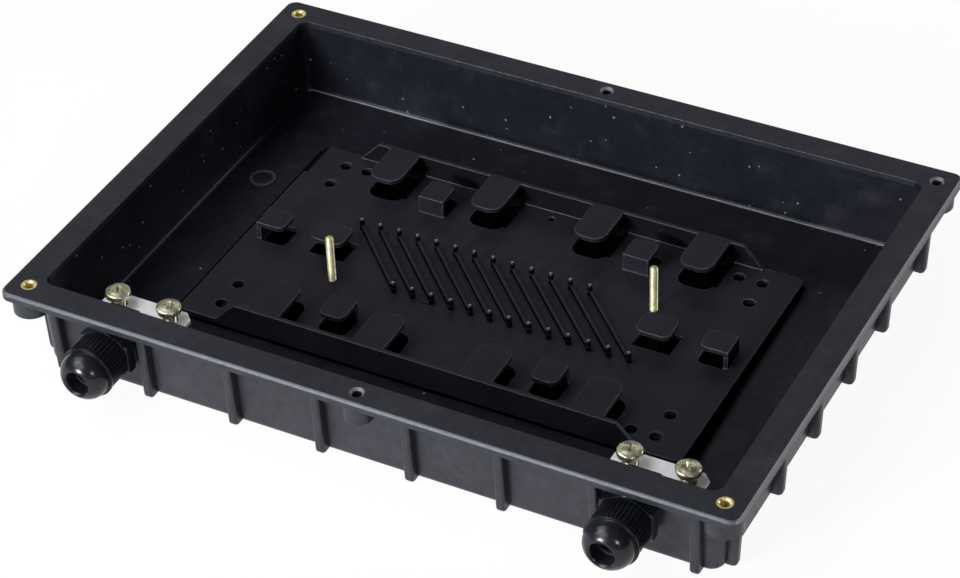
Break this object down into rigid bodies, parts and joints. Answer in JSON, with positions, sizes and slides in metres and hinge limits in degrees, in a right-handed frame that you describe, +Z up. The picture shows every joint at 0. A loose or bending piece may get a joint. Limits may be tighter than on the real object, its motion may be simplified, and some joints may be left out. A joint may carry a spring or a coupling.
{
  "type": "fibre optic joint box",
  "caption": "Open moulded joint box for fibre cables with a rim for a lid, outside ribs, cable glands, cable clamps and a splice tray with slanted fins.",
  "frame": {"origin": "centre of the moulding's underside", "axes": "+X along the long side to the right, -Y out of the front wall with the glands, +Z up"},
  "size_m": [0.275, 0.2158, 0.034],
  "materials": {
    "moulding": "satin black moulding",
    "tray_plastic": "matte black moulding",
    "gland_nylon": "glossy black nylon",
    "rubber": "matte black rubber",
    "brass": "bright turned brass",
    "yellow_zinc": "yellow zinc-plated steel",
    "zinc_plate": "pale zinc-plated steel strip"
  },
  "bodies": {
    "base": {"box_shell": "moulding", "splice_tray": "tray_plastic", "corner_inserts": "brass", "clamp_inserts": "brass", "tray_studs": "brass", "clamp_screws": "yellow_zinc", "left_gland_body": "gland_nylon", "left_gland_washer": "rubber", "left_gland_seal": "rubber", "left_gland_locknut": "gland_nylon", "right_gland_body": "gland_nylon", "right_gland_washer": "rubber", "right_gland_seal": "rubber", "right_gland_locknut": "gland_nylon"},
    "left_gland_cap": {"left_gland_cap": "gland_nylon"},
    "left_clamp_bar": {"left_clamp_bar": "zinc_plate"},
    "right_gland_cap": {"right_gland_cap": "gland_nylon"},
    "right_clamp_bar": {"right_clamp_bar": "zinc_plate"}
  },
  "joints": [
    {"name": "left_cap_turn", "type": "hinge", "parent": "base", "child": "left_gland_cap", "pos_m": [-0.0978, -0.1, 0.018], "axis": [0, -1, 0], "continuous": true},
    {"name": "left_clamp_lift", "type": "slide", "parent": "base", "child": "left_clamp_bar", "axis": [0, 0, 1], "range_m": [0, 0.0035]},
    {"name": "right_cap_turn", "type": "hinge", "parent": "base", "child": "right_gland_cap", "pos_m": [0.0978, -0.1, 0.018], "axis": [0, -1, 0], "continuous": true},
    {"name": "right_clamp_lift", "type": "slide", "parent": "base", "child": "right_clamp_bar", "axis": [0, 0, 1], "range_m": [0, 0.0035]}
  ]
}
